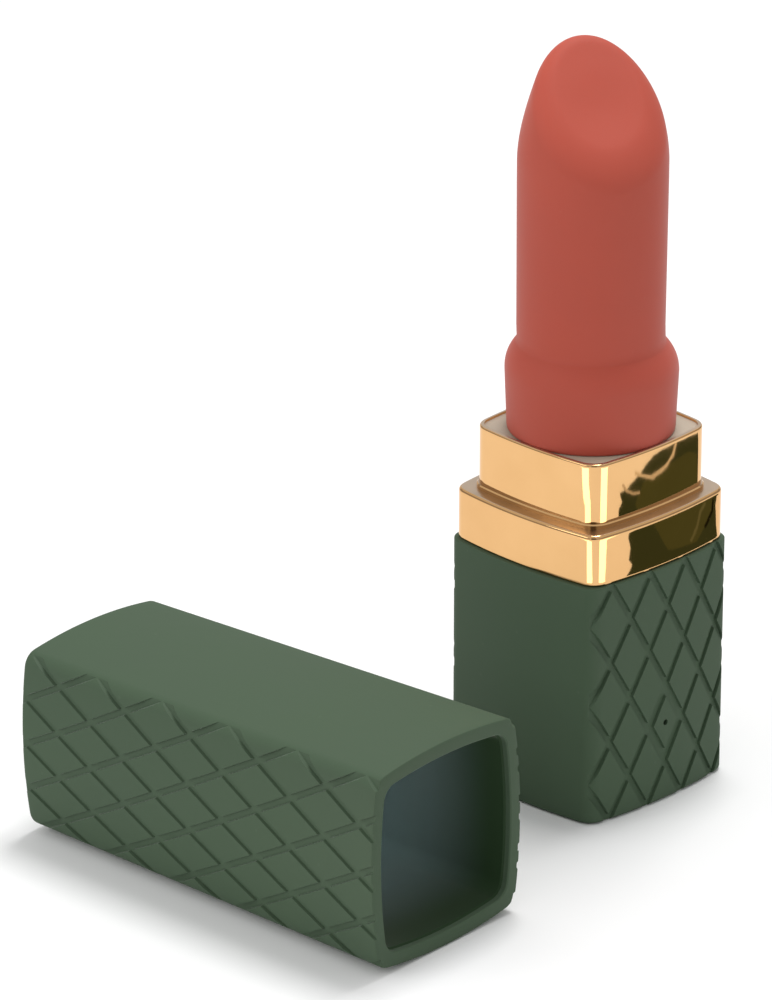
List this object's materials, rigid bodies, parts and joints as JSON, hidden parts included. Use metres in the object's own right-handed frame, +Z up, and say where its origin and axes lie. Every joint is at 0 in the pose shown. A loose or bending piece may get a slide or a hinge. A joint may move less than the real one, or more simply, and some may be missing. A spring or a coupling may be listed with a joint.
{
  "type": "lipstick-style massager",
  "caption": "Square dark green case with diamond-grooved sides, stepped gold collar and slant-cut soft red tip, and its square pull-off cap lying beside it.",
  "frame": {"origin": "centre of the base's underside, which stands on the surface", "axes": "+Z up along the base and the tip; the base's plain faces look along -Y and +Y, its grooved faces along +X and -X; the tip's slanted face and the charging hole are on the +X side; the cap lies in front, at -Y, its mouth towards +X"},
  "size_m": [0.0608, 0.0774, 0.0964],
  "materials": {
    "green_soft_touch": "dark green soft-touch, matte",
    "gold_plating": "mirror-polished gold plating",
    "red_silicone": "moulded terracotta red silicone, matte",
    "seat_grey": "pale grey moulded plastic",
    "cap_liner": "dark moulded plastic, semi-gloss",
    "button_green": "dark green soft-touch, matte",
    "dark_abs": "moulded, fine spark texture",
    "steel": "turned steel",
    "black_rubber": "moulded, matte",
    "white_nylon": "moulded, matte",
    "red_pvc": "wire insulation",
    "black_pvc": "wire insulation",
    "battery_wrap": "blue shrink wrap over a metal can",
    "foam_black": "closed-cell foam",
    "board_green": "solder mask",
    "chip_black": "moulded package",
    "capacitor_tan": "fired ceramic",
    "contact_gold": "gold flash"
  },
  "bodies": {
    "base": {"base_sleeve": "green_soft_touch", "chassis": "dark_abs", "base_plate": "dark_abs", "plate_screws": "steel", "lower_collar": "gold_plating", "upper_collar": "gold_plating", "tip_seat": "seat_grey", "tip_sleeve": "red_silicone", "core_tube": "dark_abs", "core_dome": "dark_abs", "core_screws": "steel", "motor_boot": "black_rubber", "motor_can": "steel", "motor_end_cap": "white_nylon", "motor_lead_red": "red_pvc", "motor_lead_black": "black_pvc", "battery_cell": "battery_wrap", "battery_saddles": "foam_black", "battery_lead_red": "red_pvc", "battery_lead_black": "black_pvc", "circuit_board": "board_green", "control_chip": "chip_black", "charge_regulator": "chip_black", "board_capacitors": "capacitor_tan", "charge_socket": "chip_black", "socket_contact": "contact_gold", "button_board": "board_green", "switch_body": "chip_black"},
    "rotor": {"motor_shaft": "steel", "eccentric_weight": "steel"},
    "button": {"power_button": "button_green", "switch_plunger": "white_nylon"},
    "cap": {"cap_shell": "green_soft_touch", "cap_liner": "cap_liner"}
  },
  "joints": [
    {"name": "cap_slide", "type": "slide", "parent": "base", "child": "cap", "axis": [-0.9986, -0.0523, 0], "range_m": [0, 0.06]},
    {"name": "button_press", "type": "slide", "parent": "base", "child": "button", "axis": [0, 0, 1], "range_m": [0, 0.0004], "stiffness_N_per_m": 600, "springref_m": -0.0008},
    {"name": "motor_spin", "type": "hinge", "parent": "base", "child": "rotor", "pos_m": [0, 0, 0.0774], "axis": [0, 0, 1], "continuous": true}
  ]
}
